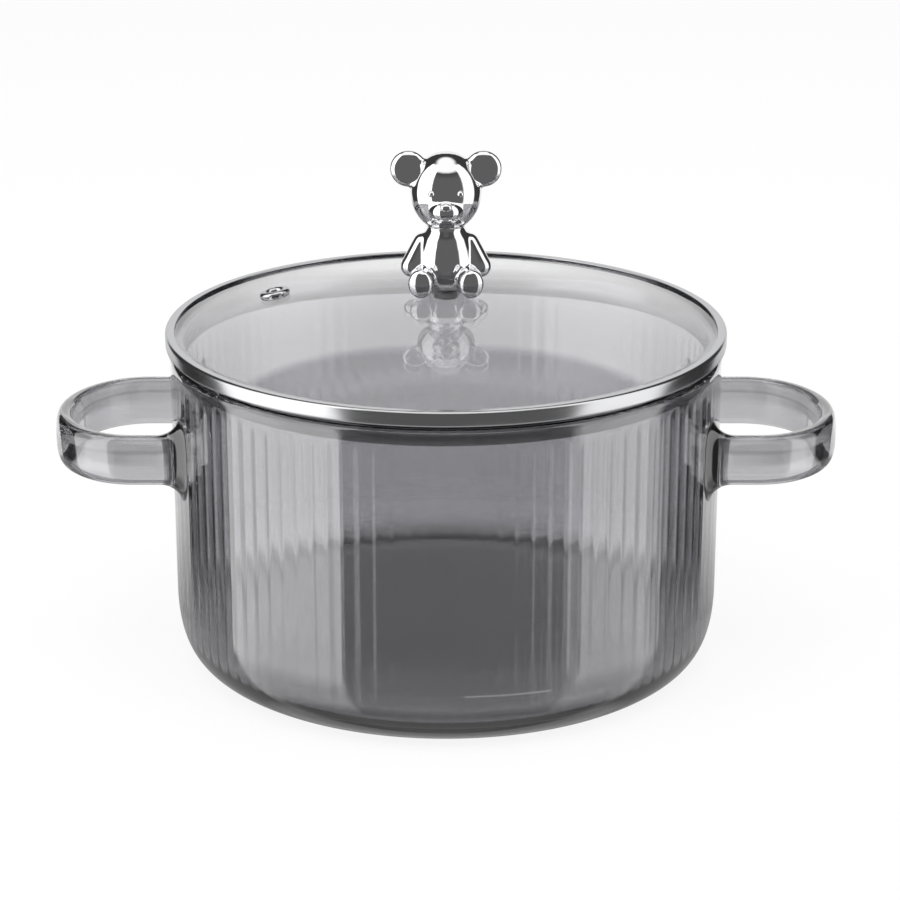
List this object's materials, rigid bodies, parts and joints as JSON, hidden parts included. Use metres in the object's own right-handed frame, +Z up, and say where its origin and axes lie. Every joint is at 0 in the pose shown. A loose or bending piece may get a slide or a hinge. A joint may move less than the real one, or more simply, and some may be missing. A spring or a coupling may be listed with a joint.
{
  "type": "glass cooking pot with lid",
  "caption": "Smoke-glass cooking pot with a vertically ribbed wall, strap loop handles and a domed steel-rimmed glass lid with a vent eyelet and a chrome bear knob.",
  "frame": {"origin": "centre of the flat base, on the surface that the pot stands on", "axes": "+Z up, +X through the handles, the bear on the lid faces -Y"},
  "size_m": [0.257, 0.1826, 0.1687],
  "materials": {
    "smoke_glass": "clear smoke grey, polished",
    "clear_glass": "clear, polished",
    "rim_steel": "polished",
    "knob_chrome": "mirror",
    "silicone": "translucent matt",
    "fixing_steel": "satin"
  },
  "bodies": {
    "pot": {"pot_body": "smoke_glass", "handle_left": "smoke_glass", "handle_right": "smoke_glass"},
    "lid": {"lid_glass": "clear_glass", "lid_rim": "rim_steel", "vent_grommet": "rim_steel", "knob": "knob_chrome", "knob_gasket": "silicone", "screw_gasket": "silicone", "screw_washer": "fixing_steel", "knob_screw": "fixing_steel"}
  },
  "joints": [
    {"name": "lid_lift", "type": "slide", "parent": "pot", "child": "lid", "axis": [0, 0, 1], "range_m": [0, 0.15]}
  ]
}
